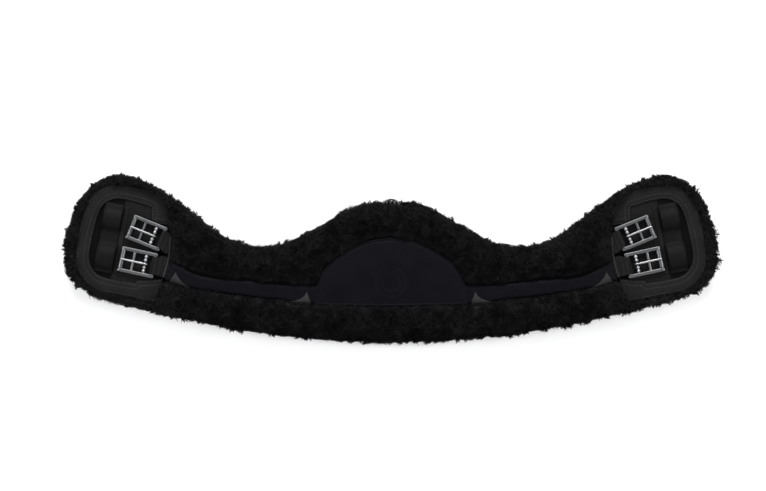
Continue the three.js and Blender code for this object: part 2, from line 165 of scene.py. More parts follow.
def modify(piece, kind, **settings):
    """Adds one modifier to a piece and works it into its mesh."""
    modifier = piece.modifiers.new(kind.title(), kind)
    for name, value in settings.items():
        setattr(modifier, name, value)
    mesh = bpy.data.meshes.new_from_object(evaluated(piece))
    piece.modifiers.clear()
    piece.data = mesh


def remesh(piece, voxel, smoothing):
    """Even quads of the given size all over the piece, then smoothed a number of times."""
    modify(piece, "REMESH", mode="VOXEL", voxel_size=voxel)
    modify(piece, "SMOOTH", factor=0.5, iterations=smoothing)
    piece.data.shade_smooth()


def read_vectors(source, field):
    """One vector for each member of a Blender collection, as an array."""
    values = np.empty(len(source) * 3)
    source.foreach_get(field, values)
    return values.reshape(-1, 3)


def surface_of(mesh):
    """The places of a mesh's vertices, and the directions that they face."""
    return read_vectors(mesh.vertices, "co"), read_vectors(mesh.vertex_normals, "vector")


def set_points(piece, points):
    """Moves a piece's vertices."""
    piece.data.vertices.foreach_set("co", points.astype(np.float32).ravel())
    piece.data.update()


def finished(piece, body, material=None, replaces=()):
    """Gives a piece its material and its body, and hides the CAD nodes that it stands for."""
    if material:
        piece.data.materials.clear()
        piece.data.materials.append(material)
    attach(piece, body)
    if replaces:
        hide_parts(*replaces)
    return piece


# ---------------- Noise and distances


def value_noise(points, cell, seed):
    """Smooth random values from -1 to 1 over space, with bumps about one cell apart."""
    scaled = points / cell
    base = np.floor(scaled).astype(np.int64)
    part = scaled - base
    part = part * part * (3 - 2 * part)
    total = np.zeros(len(points))
    for corner in range(8):
        step = np.array([(corner >> k) & 1 for k in range(3)])
        key = (base + step) @ np.array([73856093, 19349663, 83492791]) + seed * 66826
        key = ((key ^ (key >> 13)) * 1274126177) & 0x7FFFFFFF
        value = ((key ^ (key >> 15)) & 0xFFFF) / 32767.5 - 1
        total += np.prod(np.where(step, part, 1 - part), axis=1) * value
    return total


def fade(values, near, far):
    """Shares that go evenly from 1 where a value is `near` or less to 0 where it is `far` or more."""
    return np.clip((far - values) / (far - near), 0, 1)


def distance_to(points, line, closed=True):
    """How far each point is from a line in the X-Y plane."""
    starts = line[:, :2]
    ends = np.roll(starts, -1, axis=0)
    if not closed:
        starts, ends = starts[:-1], ends[:-1]
    nearest = np.full(len(points), np.inf)
    for start, end in zip(starts, ends):
        along = end - start
        share = ((points[:, :2] - start) @ along) / max(along @ along, 1e-18)
        foot = start + np.clip(share, 0, 1)[:, None] * along
        nearest = np.minimum(nearest, np.hypot(*(points[:, :2] - foot).T))
    return nearest


def inside(points, loop):
    """Whether each point lies inside a closed loop in the X-Y plane."""
    result = np.zeros(len(points), bool)
    x, y = points[:, 0], points[:, 1]
    for (x0, y0), (x1, y1) in zip(loop[:, :2], np.roll(loop[:, :2], -1, axis=0)):
        crosses = (y0 > y) != (y1 > y)
        with np.errstate(divide="ignore", invalid="ignore"):
            at = x0 + (y - y0) * (x1 - x0) / (y1 - y0)
        result ^= crosses & (x < at)
    return result


def outline(node):
    """The outline of a flat CAD piece's upper face, as points in order."""
    shape = bmesh.new()
    shape.from_mesh(frame["nodes"][node].data)
    merge(shape)
    top = max(v.co.z for v in shape.verts)
    upper = {f for f in shape.faces if all(top - v.co.z < SAME_LEVEL for v in f.verts)}
    rim = {e for e in shape.edges if sum(f in upper for f in e.link_faces) == 1}
    loop = []
    edge = min(rim, key=lambda e: e.index)
    vertex = edge.verts[0]
    while edge:
        rim.discard(edge)
        loop.append(vertex.co.copy())
        vertex = edge.other_vert(vertex)
        edge = next((e for e in vertex.link_edges if e in rim), None)
    shape.free()
    return np.array(loop)


def resampled(line, step, closed=True):
    """Points along a line at even steps."""
    ring = np.vstack([line, line[:1]]) if closed else line
    lengths = np.linalg.norm(np.diff(ring, axis=0), axis=1)
    along = np.concatenate([[0], np.cumsum(lengths)])
    count = max(3, int(round(along[-1] / step)))
    at = np.linspace(0, along[-1], count, endpoint=not closed)
    return np.column_stack([np.interp(at, along, ring[:, k]) for k in range(ring.shape[1])])


def shifted(line, distance):
    """A closed line moved inwards, without the stretches that would come too near its edge."""
    ahead = np.roll(line, -1, axis=0) - np.roll(line, 1, axis=0)
    side = np.column_stack([-ahead[:, 1], ahead[:, 0]])
    side /= np.linalg.norm(side, axis=1)[:, None]
    area = np.sum(line[:, 0] * np.roll(line[:, 1], -1) - np.roll(line[:, 0], -1) * line[:, 1])
    moved = line.copy()
    moved[:, :2] += side * distance * np.sign(area)
    return moved[distance_to(moved, line) > 0.97 * distance]


def patch(loop, spacing):
    """A flat triangle mesh inside a loop: its points and its triangles."""
    rim = resampled(loop[:, :2], spacing)
    low, high = rim.min(0), rim.max(0)
    rows = np.arange(low[1], high[1], spacing * 0.87)
    grid = [
        (x + (spacing / 2 if k % 2 else 0), y)
        for k, y in enumerate(rows)
        for x in np.arange(low[0], high[0], spacing)
    ]
    grid = np.array(grid)
    grid = grid[inside(grid, rim) & (distance_to(grid, rim) > spacing * 0.5)]
    points = np.vstack([rim, grid])
    edges = [(i, (i + 1) % len(rim)) for i in range(len(rim))]
    made = delaunay_2d_cdt([Vector(p) for p in points], edges, [], 1, 1e-7)
    return np.array([tuple(v) for v in made[0]]), [tuple(f) for f in made[2]]


def slab(node, kind, loop, bottom, height, spacing, finish):
    """Stands for a flat node: its underside is flat, and a function gives its upper face's height."""
    flat, triangles = patch(loop, spacing)
    count = len(flat)
    upper = np.column_stack([flat, height(flat)])
    lower = np.column_stack([flat, np.full(count, bottom)])
    faces = list(triangles)
    faces += [tuple(count + i for i in reversed(t)) for t in triangles]
    used = dict.fromkeys(edge for a, b, c in triangles for edge in ((a, b), (b, c), (c, a)))
    walls = [(a, b) for a, b in used if (b, a) not in used]
    faces += [(b, a, count + a, count + b) for a, b in walls]
    piece = add_mesh(f"{node}_{kind}", np.vstack([upper, lower]), faces, MATERIALS[finish])
    return finished(piece, "root", replaces=[node])


def between_rings(rings, points, closed=False):
    """The faces between rings that have the same number of points each."""
    faces = []
    for ring in range(rings if closed else rings - 1):
        a, b = ring * points, (ring + 1) % rings * points
        for k in range(points):
            n = (k + 1) % points
            faces.append((a + k, b + k, b + n, a + n))
    return faces


def end_caps(rings, points):
    """The two faces that close the first and the last of the rings."""
    last = (rings - 1) * points
    return [tuple(range(points)), tuple(last + k for k in reversed(range(points)))]


def smoothed(line, times):
    """A line with each point but the ends moved towards its neighbours, a number of times."""
    line = line.copy()
    for _ in range(times):
        line[1:-1] = (line[:-2] + 2 * line[1:-1] + line[2:]) / 4
    return line


def arc(radius, start, end, count):
    """Points of an arc round the origin, from one angle to another."""
    return [(radius * math.cos(a), radius * math.sin(a)) for a in np.linspace(start, end, count)]


def groove(distance, width, depth):
    """The depth of a soft groove at a distance from its middle line."""
    return depth * np.exp(-((distance / width) ** 2))


def swept(path, radii, sides, across=(0, 1, 0), closed=False):
    """Vertices and faces of a round bar along a path, with its own radius at each point."""
    path = [Vector(p) for p in path]
    count = len(path)
    vertices = []
    for i, point in enumerate(path):
        after = path[(i + 1) % count] if closed else path[min(i + 1, count - 1)]
        before = path[i - 1] if closed else path[max(i - 1, 0)]
        ahead = (after - before).normalized()
        up = ahead.cross(Vector(across)).normalized()
        beside = up.cross(ahead)
        for k in range(sides):
            turn = 2 * math.pi * k / sides
            out = math.cos(turn) * beside + math.sin(turn) * up
            vertices.append(point + float(radii[i]) * out)
    faces = between_rings(count, sides, closed)
    if not closed:
        faces += end_caps(count, sides)
    return vertices, faces


def joined(name, parts, material=None):
    """One object from several vertex and face lists."""
    vertices, faces = [], []
    for part_vertices, part_faces in parts:
        first = len(vertices)
        vertices += [tuple(v) for v in part_vertices]
        faces += [tuple(first + i for i in face) for face in part_faces]
    piece = add_mesh(name, vertices, faces, material)
    reshape(piece.data, face_out)
    return piece


def rounded_rim(distance, radius):
    """How far a rounded edge lies below the face, at a distance in from the rim."""
    share = np.clip(1 - distance / radius, 0, 1)
    return radius * (1 - np.sqrt(1 - share**2))


# ---------------- Materials


def feed(value, socket):
    """Gives an input socket a value or another node's socket."""
    if isinstance(value, bpy.types.NodeSocket):
        socket.id_data.links.new(value, socket)
    else:
        socket.default_value = value


def add_node(tree, kind, settings=None, **inputs):
    """A shader node with its settings, and inputs that are values or other nodes' sockets."""
    node = tree.nodes.new(kind)
    for name, value in (settings or {}).items():
        setattr(node, name, value)
    for name, value in inputs.items():
        feed(value, node.inputs[name.replace("_", " ")])
    return node


def worked_out(operation, first, *others):
    """The result of a sum on a node's socket and on values or more sockets."""
    node = add_node(first.id_data, "ShaderNodeMath", {"operation": operation})
    for value, socket in zip((first, *others), node.inputs):
        feed(value, socket)
    return node.outputs["Value"]


def new_material(name, color, roughness, specular, metallic=0.0):
    """A principled material. Returns it with its shader and its object coordinates."""
    material = bpy.data.materials.new(name)
    material.use_nodes = True
    shader = material.node_tree.nodes["Principled BSDF"]
    shader.inputs["Base Color"].default_value = (*color, 1)
    shader.inputs["Roughness"].default_value = roughness
    shader.inputs["Metallic"].default_value = metallic
    shader.inputs["Specular IOR Level"].default_value = specular
    place = add_node(material.node_tree, "ShaderNodeTexCoord").outputs["Object"]
    return material, shader, place


def noise(place, size, detail):
    """Cloudy values, with clouds of about the given size in metres."""
    tree = place.id_data
    node = add_node(tree, "ShaderNodeTexNoise", Vector=place, Scale=1 / size, Detail=detail)
    return node.outputs["Fac"]


WAVE_SCALE = 0.314  # of Blender's wave texture, for ridges one unit apart


def wave(place, period, direction, distortion):
    """Nearly even ridges across a direction, one every period in metres."""
    settings = {"bands_direction": direction, "wave_profile": "SIN"}
    node = add_node(place.id_data, "ShaderNodeTexWave", settings, Vector=place)
    node.inputs["Scale"].default_value = WAVE_SCALE / period
    node.inputs["Distortion"].default_value = distortion
    return node.outputs["Fac"]


def shade(color, factor):
    """A colour made lighter or darker."""
    return tuple(c * factor for c in color)


def dye(shader, value, low, high, color, dark, light):
    """Colours a material from a dark to a light shade, as a value goes from low to high."""
    node = add_node(shader.id_data, "ShaderNodeValToRGB", Fac=value)
    for element, place, factor in zip(node.color_ramp.elements, (low, high), (dark, light)):
        element.position = place
        element.color = (*shade(color, factor), 1)
    feed(node.outputs["Color"], shader.inputs["Base Color"])


def roughen(shader, value, low, high):
    """Spreads a material's roughness between two others."""
    node = add_node(shader.id_data, "ShaderNodeMapRange", Value=value, To_Min=low, To_Max=high)
    feed(node.outputs["Result"], shader.inputs["Roughness"])


def bump(shader, height, depth):
    """Relief of the given depth in metres."""
    node = add_node(shader.id_data, "ShaderNodeBump", Height=height, Distance=depth, Strength=1.0)
    feed(node.outputs["Normal"], shader.inputs["Normal"])


def leather(name, color, grain, roughness, specular=0.12):
    """Soft leather: pebbled grain, faint clouds of colour and worn, smoother patches."""
    material, shader, place = new_material(name, color, roughness, specular)
    dye(shader, noise(place, 0.03, 4.0), 0.3, 0.75, color, 0.75, 1.25)
    pebbles = add_node(place.id_data, "ShaderNodeTexVoronoi", Vector=place, Scale=1 / grain)
    grained = worked_out("ADD", pebbles.outputs["Distance"], noise(place, grain / 3, 3.0))
    bump(shader, grained, 0.00012)
    roughen(shader, noise(place, 0.012, 3.0), roughness - 0.1, roughness + 0.12)
    return material


def woven(name, color, pitch, roughness=0.85):
    """Plain-woven cloth: threads over and under each other, with uneven dye."""
    material, shader, place = new_material(name, color, roughness, 0.07)
    crossings = worked_out("MULTIPLY", wave(place, pitch, "X", 0.4), wave(place, pitch, "Y", 0.4))
    uneven = worked_out("ADD", crossings, noise(place, 0.01, 4.0))
    dye(shader, uneven, 0.2, 1.5, color, 0.6, 1.5)
    bump(shader, crossings, 0.0002)
    return material


KEEPER_TILT = math.radians(10.5)  # how far the row of keeper loops leans from straight across
# the cloth shows between these two; nearer the middle and further out, the plate gets near-black
# painted shade
CLOTH_START = 0.317  # from the middle of the girth, square to the keeper loops
CLOTH_END = 0.372


def end_plate_cloth_and_painted_shade(color, painted_shade):
    """The end plate's cloth, with near-black painted shade at the mouth and under the keeper loops,
    where the plate lies in shadow.
    """
    material = woven("plate_fabric", color, 0.0010)
    tree = material.node_tree
    base = tree.nodes["Principled BSDF"].inputs["Base Color"]
    cloth = base.links[0].from_socket
    place = add_node(tree, "ShaderNodeTexCoord").outputs["Object"]
    apart = add_node(tree, "ShaderNodeSeparateXYZ", Vector=place).outputs
    along = worked_out("MULTIPLY", worked_out("ABSOLUTE", apart["X"]), math.cos(KEEPER_TILT))
    across = worked_out("MULTIPLY_ADD", apart["Y"], math.sin(KEEPER_TILT), along)
    middle, half = (CLOTH_START + CLOTH_END) / 2, (CLOTH_END - CLOTH_START) / 2
    unshaded_cloth = worked_out("COMPARE", across, middle, half)
    # painted shade: near-black colour outside the band of cloth, standing in for the shadow at the
    # mouth and under the keeper loops
    dark = (painted_shade, painted_shade, painted_shade, 1)
    mixed = add_node(tree, "ShaderNodeMixRGB", Fac=unshaded_cloth, Color1=dark, Color2=cloth)
    feed(mixed.outputs["Color"], base)
    return material


def ribbed(name, color, direction):
    """Woven elastic: broad bands of painted light and shade that stand for its ribs, and fine ridges
    across its length, with threads between them.
    """
    material, shader, place = new_material(name, color, 0.8, 0.07)
    mapping = add_node(place.id_data, "ShaderNodeMapping", {"vector_type": "TEXTURE"}, Vector=place)
    mapping.inputs["Rotation"].default_value = (0, 0, direction)
    along = mapping.outputs["Vector"]
    threads = wave(along, 0.0006, "Y", 0.3)
    relief = worked_out("MULTIPLY_ADD", threads, 0.4, wave(along, 0.0012, "X", 0.2))
    # painted light and shade: broad light and dark bands, with no relief of their own, stand for the
    # lit and shaded sides of the ribs
    painted_rib_light = worked_out("MULTIPLY_ADD", wave(along, 0.0062, "X", 0.2), 2.4, relief)
    dye(shader, painted_rib_light, 0.6, 3.0, color, 0.25, 1.9)
    bump(shader, relief, 0.0003)
    return material


def steel(name, color, roughness):
    """Stainless steel: even colour, with fine scratches and slightly dull patches."""
    material, shader, place = new_material(name, color, roughness, 0.5, metallic=1.0)
    roughen(shader, noise(place, 0.004, 4.0), roughness - 0.07, roughness + 0.07)
    drawn = add_node(place.id_data, "ShaderNodeMapping", Vector=place, Scale=(1, 1, 12))
    bump(shader, noise(drawn.outputs["Vector"], 0.0008, 2.0), 0.00001)
    return material


def curly_wool(name, color):
    """The mass under the locks, painted lighter than the locks to lift the shade between them: clouds
    of colour at two sizes, and curly relief.
    """
    material, shader, place = new_material(name, color, 0.95, 0.05)
    # painted light: 1.2 to 3 times the wool's colour, so the shaded gaps between the locks look no
    # darker than the locks
    dye(shader, noise(place, 0.012, 6.0), 0.35, 0.7, color, 1.2, 3.0)
    bump(shader, noise(place, 0.002, 4.0), 0.001)
    return material


WOOL = (0.0060, 0.0060, 0.0063)
WOOL_SHADES = (0.5, 0.75, 1.0, 1.4, 2.0)
MATERIALS = {
    "panel": leather("panel_leather", (0.0026, 0.0024, 0.0041), 0.0009, 0.5, 0.06),
    "border": leather("border_leather", (0.0076, 0.0076, 0.0079), 0.0012, 0.62, 0.1),
    "strip": leather("strip_leather", (0.0076, 0.0076, 0.0079), 0.0017, 0.6, 0.1),
    "keeper": leather("keeper_leather", (0.0042, 0.0042, 0.0044), 0.0017, 0.6, 0.08),
    "binding": leather("binding", (0.022, 0.022, 0.0227), 0.0008, 0.5),
    # the last number is the near-black painted shade at the mouth and under the keeper loops
    "plate": end_plate_cloth_and_painted_shade((0.0078, 0.0078, 0.0081), 0.0018),
    "gusset": woven("gusset_fabric", (0.021, 0.0205, 0.0215), 0.0022, 0.8),
    "web": woven("nylon_web", (0.012, 0.012, 0.013), 0.0014),
    "foam": leather("foam", (0.02, 0.02, 0.021), 0.0015, 0.9),
    "thread": woven("thread", (0.043, 0.043, 0.044), 0.0004, 0.7),
    "dark thread": woven("dark_thread", (0.016, 0.016, 0.017), 0.0004, 0.7),
    # painted light and shade: one steel in two tones; the copy on the tongue, hinge bar and D-ring is
    # twice as light as the frame and roller's, so their rounded faces shine brighter; the frame's copy
    # is also a little rougher
    "steel": steel("steel", (0.36, 0.365, 0.375), 0.33),
    "dull shaded steel": steel("dull_shaded_steel", (0.17, 0.173, 0.178), 0.4),
    "wool": curly_wool("lambskin", WOOL),
}


def wool_shades():
    """The tones that the locks of the lambskin are dyed in."""
    names = {f"lambskin_lock_{factor:g}": factor for factor in WOOL_SHADES}
    return [new_material(name, shade(WOOL, factor), 0.8, 0.06)[0] for name, factor in names.items()]


# ---------------- Lambskin

EDGE_ROUND = 0.005  # of the CAD wool, so its upper face ends this far inside the outline
EDGE_INSET = 0.0052  # how far the mass lies inside the outline, under the ends of its locks
INNER_INSET = 0.0008  # and inside the edges that meet the end plates
TOP_INSET = 0.0032  # and below the upper face and above the underside
LAYER_INSET = 0.0004  # and off the faces where the layers meet
PRESSED = 0.0005  # how far it swells over the edges of the strips and the panel
THINNEST = 0.005  # of the mass where a roll is narrow
LOWEST = 0.0008  # height of the mass over the floor
UNDERSIDE = 0.008  # the mass is drawn in from the underside up to this height
UNDER_LAYER = 0.010  # between this height and the next, the layers meet
UPPER_LAYER = 0.026
SEAM_LEVEL = 0.0172  # where the rolled wool meets the wool of the horse side, at the edge
RING_GAP = 0.019  # half of the stretch at the D-ring with no wool at the seam


def depth_inside(points):
    """How far points lie inside the outline of the girth."""
    face = outline("fleece_horse_side")
    distance = distance_to(points, face)
    return EDGE_ROUND + np.where(inside(points, face), distance, -distance)


def from_outlines(points, nodes):
    """How far points lie from the outlines of some nodes, seen from above."""
    return np.min([distance_to(points, outline(node)) for node in nodes], axis=0)


def from_box(points, node):
    """How far points lie from a node's box, seen from above."""
    low, high = (np.array(corner)[:2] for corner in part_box(node))
    apart = np.maximum(low - points[:, :2], points[:, :2] - high)
    return np.hypot(*np.maximum(apart, 0).T)


def edge_bolster():
    """The wool at the edge that joins the horse side to the rolls, open at the D-ring."""
    radius = 0.0036
    line = shifted(outline("fleece_horse_side"), EDGE_INSET + radius - EDGE_ROUND)
    line = resampled(line[:, :2], 0.004)
    clear = ~((np.abs(line[:, 0]) < RING_GAP) & (line[:, 1] > 0))
    first = np.flatnonzero(clear & ~np.roll(clear, 1))[0]
    line = np.roll(line, -first, axis=0)[: clear.sum()]
    path = [(x, y, SEAM_LEVEL) for x, y in line]
    return swept(path, [radius] * len(path), 10, across=UP)


def wool_mass(name, node):
    """The soft mass of one lambskin piece, lumpy and rounded, under its locks."""
    piece = copy_of(node, name)
    remesh(piece, 0.0025, 3)
    points, normals = surface_of(piece.data)
    depth = depth_inside(points)
    near_edge = fade(depth, 0.006, 0.014)
    edge_inset = EDGE_INSET
    inner_inset = INNER_INSET
    if node != "fleece_horse_side":
        from_plate = from_outlines(points, END_PLATES)
        near_edge *= np.clip(from_plate / 0.006, 0, 1)
        edge_inset = np.clip(depth + from_plate - THINNEST, 0.001, EDGE_INSET)
        inner_inset = np.where(from_plate < 0.004, INNER_INSET, -PRESSED)
    sideways = inner_inset + (edge_inset - inner_inset) * near_edge
    outer = (points[:, 2] < UNDERSIDE) | (points[:, 2] > UPPER_LAYER)
    upright = np.where(outer, TOP_INSET, LAYER_INSET)
    points -= normals * np.column_stack([sideways, sideways, upright])
    set_points(piece, points)
    if node == "fleece_horse_side":
        bolster = joined("bolster", [edge_bolster()])
        reshape(piece.data, lambda shape: shape.from_mesh(bolster.data))
        bpy.data.objects.remove(bolster)
    remesh(piece, 0.0022, 2)
    points, normals = surface_of(piece.data)
    lumps = 0.0015 * value_noise(points, 0.015, 3) + 0.0009 * value_noise(points, 0.007, 4)
    points += normals * lumps[:, None]
    points[:, 2] = np.maximum(points[:, 2], LOWEST)
    set_points(piece, points)
    finished(piece, "root", MATERIALS["wool"], [node])
    return piece


def scattered(piece, per_area, rng, wanted):
    """Random points on a piece's faces: places, normals. `wanted` gives each place's share."""
    mesh = piece.data
    mesh.calc_loop_triangles()
    corners = np.empty(len(mesh.loop_triangles) * 3, np.int32)
    mesh.loop_triangles.foreach_get("vertices", corners)
    corners = corners.reshape(-1, 3)
    points, normals = surface_of(mesh)
    a, b, c = (points[corners[:, k]] for k in range(3))
    areas = np.linalg.norm(np.cross(b - a, c - a), axis=1) / 2
    count = int(areas.sum() * per_area)
    chosen = rng.choice(len(areas), count, p=areas / areas.sum())
    u, v = rng.random(count), rng.random(count)
    flip = u + v > 1
    u[flip], v[flip] = 1 - u[flip], 1 - v[flip]
    weights = np.column_stack([1 - u - v, u, v])
    places = np.einsum("nk,nkj->nj", weights, points[corners[chosen]])
    facing = np.einsum("nk,nkj->nj", weights, normals[corners[chosen]])
    facing /= np.linalg.norm(facing, axis=1)[:, None]
    keep = rng.random(count) < wanted(places, facing)
    return places[keep], facing[keep]


LOCK_RINGS = ((0.0, 1.0), (0.3, 1.0), (0.6, 0.85), (0.85, 0.5))  # place along it, share of radius
LOCK_SIDES = 3
SLANTED = (0.31, 0.27, 0.91)  # a direction that no face of the wool looks in exactly
SHORTEST = 0.55  # share of their length that the locks beside the smooth leather keep
PALE_ENDS = 0.6  # how much paler the wool is round the end plates
# painted light: the front roll is paler towards its front edge and the rear roll darker towards its
# rear edge, as rounded rolls lit from the front would look
PAINTED_LIGHT = {  # how much paler at the outline, how much further in, and how far in
    "fleece_horse_side": (0, 0, 1),
    "fleece_front_roll": (0.6, -0.12, 0.045),
    "fleece_rear_roll": (-0.25, 0.12, 0.022),
}


def painted_light_and_pale_ends(node, roots):
    """How much paler than its own mean the wool of a node is at each place: painted light across the
    rolls, and paler wool round the end plates.
    """
    at_edge, further_in, reach = PAINTED_LIGHT[node]
    share = np.clip(depth_inside(roots) / reach, 0, 1)
    between_ends = fade(np.abs(roots[:, 0]), 0.27, 0.31)
    return PALE_ENDS + between_ends * (at_edge + (further_in - at_edge) * share - PALE_ENDS)


def lock_lengths(roots, rng):
    """The length of each lock: in tufts at the outline, and short beside the smooth leather."""
    edge = depth_inside(roots) < 0.006
    tufts = 0.8 + 1.1 * np.clip(value_noise(roots, 0.0055, 31), 0, 1)
    length = rng.uniform(0.0048, 0.0075, len(roots)) * np.where(edge, tufts, 0.9)
    uncovered = from_outlines(roots, SMOOTH_LEATHER) - 0.003
    for side in SIDES:
        uncovered = np.minimum(uncovered, from_box(roots, f"slot_binding_{side}") - 0.001)
    return length * np.clip(uncovered / 0.01, SHORTEST, 1)


def lock_points(roots, facing, rng):
    """The points of curling, tapering locks, ring by ring, with the tip last."""
    count = len(roots)
    length = lock_lengths(roots, rng)
    radius = rng.uniform(0.0005, 0.0009, count)
    lean = 1.15 + 0.5 * value_noise(roots, 0.011, 11) + rng.normal(0, 0.3, count)
    lean = np.clip(lean, 0.2, 2.2)  # how far a lock bends over, in radians
    heading = 2.2 * value_noise(roots, 0.021, 12) + 0.8 * value_noise(roots, 0.009, 13)
    heading = math.pi * heading + rng.normal(0, 0.4, count)  # and which way
    across = np.cross(facing, SLANTED)
    across /= np.linalg.norm(across, axis=1)[:, None]
    beside = np.cross(facing, across)
    ahead = np.cos(heading)[:, None] * across + np.sin(heading)[:, None] * beside
    sideways = np.cross(facing, ahead)
    curl = rng.uniform(0.0004, 0.0011, count)
    phase = rng.uniform(0, 2 * math.pi, count)
    turns = rng.uniform(0.6, 1.3, count)

    def centre(share):
        bend = lean * share
        rise = length * np.sin(bend) / lean
        reach = length * (1 - np.cos(bend)) / lean
        angle = phase + 2 * math.pi * turns * share
        swing = curl * share
        return (
            roots
            + rise[:, None] * facing
            + (reach + swing * np.cos(angle))[:, None] * ahead
            + (swing * np.sin(angle))[:, None] * sideways
        )

    rings = []
    for share, taper in LOCK_RINGS:
        bend = lean * share
        tilt = np.cos(bend)[:, None] * ahead - np.sin(bend)[:, None] * facing
        middle = centre(share)
        for k in range(LOCK_SIDES):
            angle = phase + 2 * math.pi * k / LOCK_SIDES
            out = np.cos(angle)[:, None] * sideways + np.sin(angle)[:, None] * tilt
            rings.append(middle + (radius * taper)[:, None] * out)
    rings.append(centre(1.0))
    points = np.stack(rings, axis=1)
    points[:, :, 2] = np.maximum(points[:, :, 2], 0.0002)
    return points


def lock_triangles():
    """The triangles of one lock, as numbers of its points."""
    pattern = [(0, 2, 1)]
    for ring in range(len(LOCK_RINGS) - 1):
        for k in range(LOCK_SIDES):
            a = ring * LOCK_SIDES + k
            b = ring * LOCK_SIDES + (k + 1) % LOCK_SIDES
            pattern += [(a, b, b + LOCK_SIDES), (a, b + LOCK_SIDES, a + LOCK_SIDES)]
    tip = len(LOCK_RINGS) * LOCK_SIDES
    last = tip - LOCK_SIDES
    pattern += [(last + k, last + (k + 1) % LOCK_SIDES, tip) for k in range(LOCK_SIDES)]
    return np.array(pattern)


def lock_tones(roots, paler):
    """Which shade each lock has: patches of three sizes, over the node's own painted light and paler
    ends.
    """
    dye = 0.5 + 0.4 * value_noise(roots, 0.013, 21) + 0.45 * value_noise(roots, 0.0055, 22)
    # paler carries the painted light across the rolls and the paler wool round the end plates
    dye += 0.2 * value_noise(roots, 0.0028, 23) + paler
    count = len(WOOL_SHADES)
    return np.clip(dye * count, 0, count - 1).astype(int)


def wool_locks(name, roots, facing, paler, rng, shades):
    """Curly locks of wool standing on the mass: each is a closed, tapering, curling tube."""
    points = lock_points(roots, facing, rng)
    pattern = lock_triangles()
    first = np.arange(len(roots)) * points.shape[1]
    triangles = first[:, None, None] + pattern[None]
    slots = np.repeat(lock_tones(roots, paler), len(pattern))
    piece = add_triangles(name, points.reshape(-1, 3), triangles.reshape(-1, 3), shades, slots)
    finished(piece, "root")


def showing(places, facing):
    """The share of locks that each place carries: none between the layers, few underneath."""
    between = (places[:, 2] > UNDER_LAYER) & (places[:, 2] < UPPER_LAYER)
    buried = between & (np.abs(facing[:, 2]) > 0.5) & (depth_inside(places) > 0.008)
    underneath = facing[:, 2] < -0.6
    return np.where(buried, 0.0, np.where(underneath, 0.35, 1.0))


PIECE_LOCKS = 9000  # most locks in one piece
DENSITY = {  # locks per square metre
    "fleece_horse_side": 300000,
    "fleece_front_roll": 560000,
    "fleece_rear_roll": 560000,
}


def lambskin():
    """The three lambskin masses and the locks that stand on them."""
    rng = np.random.default_rng(7)
    shades = wool_shades()
    for node, density in DENSITY.items():
        mass = wool_mass(node + "_wool", node)
        roots, facing = scattered(mass, density, rng, showing)
        paler = painted_light_and_pale_ends(node, roots)
        order = np.argsort(roots[:, 0])
        parts = np.array_split(order, math.ceil(len(order) / PIECE_LOCKS))
        for k, part in enumerate(parts):
            name = f"{node}_locks_{k}"
            wool_locks(name, roots[part], facing[part], paler[part], rng, shades)


# ---------------- Padded leather


CLOTH_FRAMES = 20
PRESSURE = 4.0


def inflate(piece, voxel, most):
    """Lets a padded piece swell like a filled cover, each point by no more than `most`."""
    remesh(piece, voxel, 2)
    rest = read_vectors(piece.data.vertices, "co")
    cloth = piece.modifiers.new("Cloth", "CLOTH")
    cloth.settings.use_pressure = True
    cloth.settings.uniform_pressure_force = PRESSURE
    cloth.settings.effector_weights.gravity = 0
    cloth.settings.quality = 5
    for number in range(1, CLOTH_FRAMES + 1):
        SCENE.frame_set(number)
    move = read_vectors(evaluated(piece).data.vertices, "co") - rest
    size = np.linalg.norm(move, axis=1)
    move *= np.minimum(1, most / np.maximum(size, 1e-9))[:, None]
    piece.modifiers.clear()
    SCENE.frame_set(1)
    set_points(piece, rest + move)


STRIP_FALL = 0.0016  # how far the padded strip's face falls towards its edges
STRIP_SHOULDER = 0.007  # and over what breadth
STRIP_TUCK = 0.0025  # how far its sides reach under the wool


def padded_strip(side):
    """The padded strip from the half-moon panel to the mouth of the straps."""
    node = f"strip_{side}"
    loop = outline(node)
    piece = copy_of(node, f"{node}_leather")
    inflate(piece, 0.003, 0.0015)
    points, normals = surface_of(piece.data)
    upper = normals[:, 2] > 0.3
    edge = np.where(inside(points, loop), distance_to(points, loop), 0)
    points[:, 2] -= upper * STRIP_FALL * (1 - np.minimum(edge / STRIP_SHOULDER, 1)) ** 2
    beside_wool = fade(np.abs(points[:, 0]), 0.28, 0.3)
    points[:, 1] += normals[:, 1] * STRIP_TUCK * beside_wool
    set_points(piece, points)
    modify(piece, "SUBSURF", levels=1)
    piece.data.shade_smooth()
    finished(piece, "root", MATERIALS["panel"], [node])
    return piece


def horseshoe(points, centre):
    """Depth of the pressed mark in the panel: the outline of a plain horseshoe, open at the top."""
    radius, breadth, opening = 0.0165, 0.0042, math.radians(38)
    turn = np.arctan2(points[:, 0] - centre[0], points[:, 1] - centre[1])
    far = np.hypot(points[:, 0] - centre[0], points[:, 1] - centre[1])
    past_end = np.maximum(opening - np.abs(turn), 0) * far
    distance = np.hypot(far - radius, past_end) - breadth
    return groove(distance, 0.0009, 0.0008)


